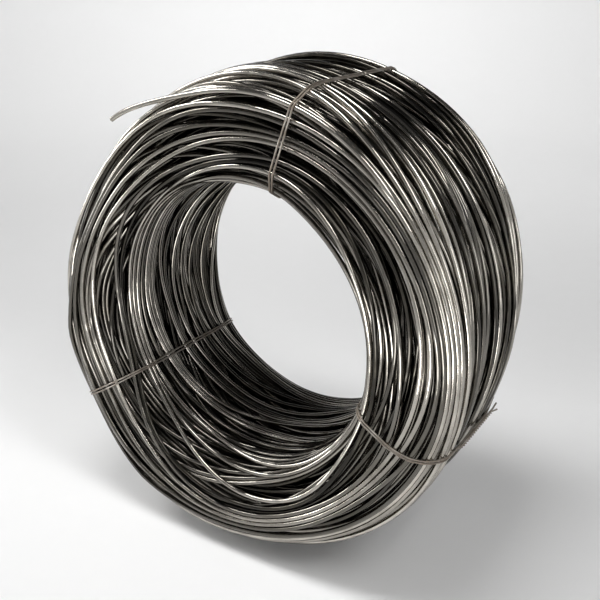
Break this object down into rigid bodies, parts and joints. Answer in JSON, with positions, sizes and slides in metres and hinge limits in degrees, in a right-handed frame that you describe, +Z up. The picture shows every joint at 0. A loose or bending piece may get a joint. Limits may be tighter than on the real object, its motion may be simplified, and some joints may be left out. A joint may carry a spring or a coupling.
{
  "type": "wire coil",
  "caption": "Coil of bright drawn carbon steel wire with a round eye, standing on its rim and bound with thin twisted wire ties, one free end sprung loose.",
  "frame": {"origin": "the middle of the coil's eye, on its axis and half way through its width", "axes": "+Y along the coil's axis from the front end to the back end, +Z up with the coil standing on its rim, +X to the right of the front end"},
  "size_m": [0.42, 0.1818, 0.4198],
  "materials": {
    "steel_wire": "bright drawn",
    "tie_wire": "dark annealed"
  },
  "bodies": {
    "root": {"wire_coil": "steel_wire", "tie_upper": "tie_wire", "tie_left": "tie_wire", "tie_lower": "tie_wire"}
  },
  "joints": []
}
